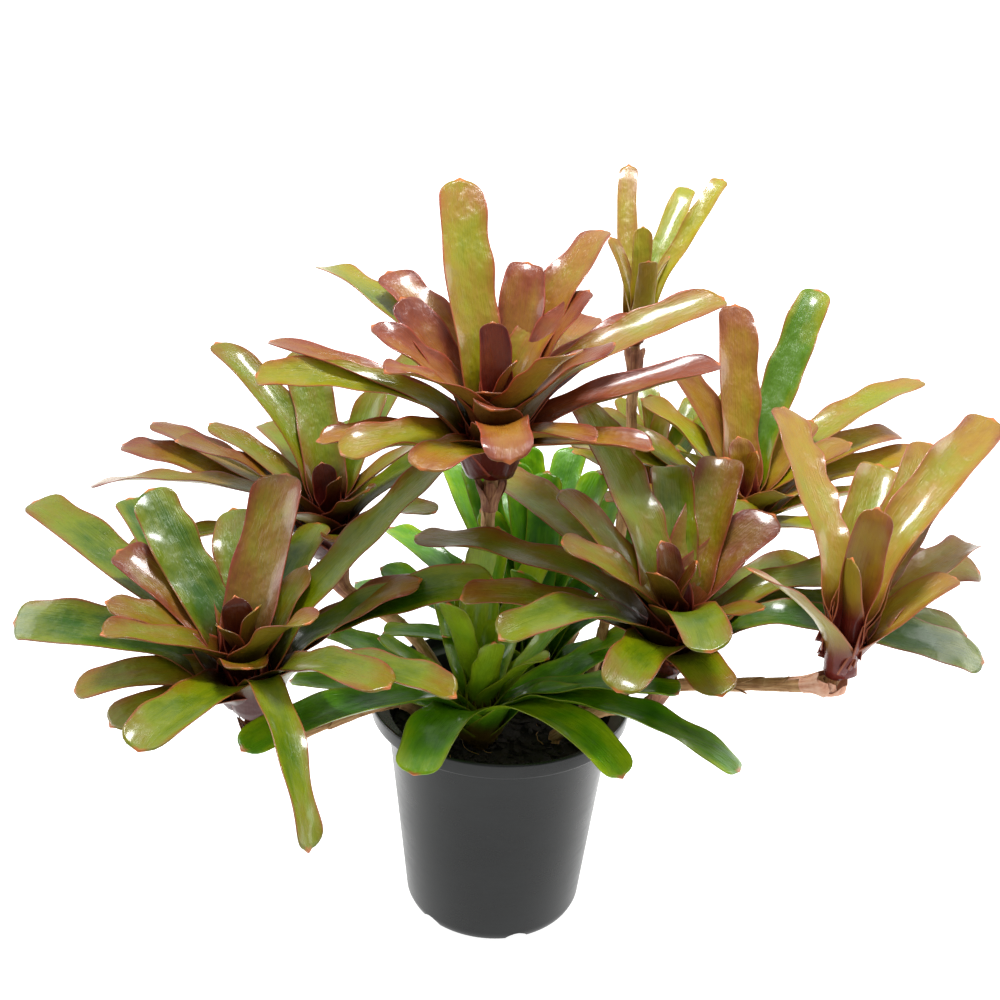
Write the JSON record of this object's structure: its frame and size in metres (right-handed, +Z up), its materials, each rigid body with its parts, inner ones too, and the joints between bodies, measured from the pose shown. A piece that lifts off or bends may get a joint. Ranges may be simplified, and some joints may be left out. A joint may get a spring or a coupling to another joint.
{
  "type": "potted bromeliad",
  "caption": "Clump of strap-leaved bromeliad rosettes on woody runners, rooted in bark soil in a round tapered nursery pot.",
  "frame": {"origin": "centre of the pot's flat underside, on the pot's axis", "axes": "+Z up the pot's axis, +X to the right and -Y to the front of the plant, as it is usually shown"},
  "size_m": [0.493, 0.3592, 0.3867],
  "materials": {
    "pot_plastic": "satin",
    "potting_mix": "matte",
    "runner_bark": "matte",
    "bronze_leaf": "gloss",
    "olive_leaf": "gloss",
    "green_leaf": "gloss",
    "young_leaf": "gloss"
  },
  "bodies": {
    "root": {"pot": "pot_plastic", "soil": "potting_mix", "top_lower_leaves": "bronze_leaf", "top_middle_leaves": "bronze_leaf", "top_heart_leaves": "bronze_leaf", "top_runner": "runner_bark", "left_lower_leaves": "bronze_leaf", "left_middle_leaves": "bronze_leaf", "left_heart_leaves": "bronze_leaf", "left_runner": "runner_bark", "back_left_lower_leaves": "bronze_leaf", "back_left_middle_leaves": "bronze_leaf", "back_left_heart_leaves": "bronze_leaf", "back_left_runner": "runner_bark", "right_lower_leaves": "bronze_leaf", "right_middle_leaves": "bronze_leaf", "right_heart_leaves": "bronze_leaf", "right_runner": "runner_bark", "back_right_lower_leaves": "olive_leaf", "back_right_middle_leaves": "olive_leaf", "back_right_heart_leaves": "olive_leaf", "back_right_runner": "runner_bark", "far_right_lower_leaves": "olive_leaf", "far_right_middle_leaves": "olive_leaf", "far_right_heart_leaves": "olive_leaf", "far_right_runner": "runner_bark", "top_shoot_lower_leaves": "young_leaf", "top_shoot_heart_leaves": "young_leaf", "top_shoot_runner": "runner_bark", "front_lower_leaves": "green_leaf", "front_middle_leaves": "green_leaf", "front_heart_leaves": "green_leaf", "centre_lower_leaves": "green_leaf", "centre_heart_leaves": "green_leaf", "small_back_lower_leaves": "olive_leaf", "small_back_heart_leaves": "olive_leaf", "small_back_runner": "runner_bark"}
  },
  "joints": []
}
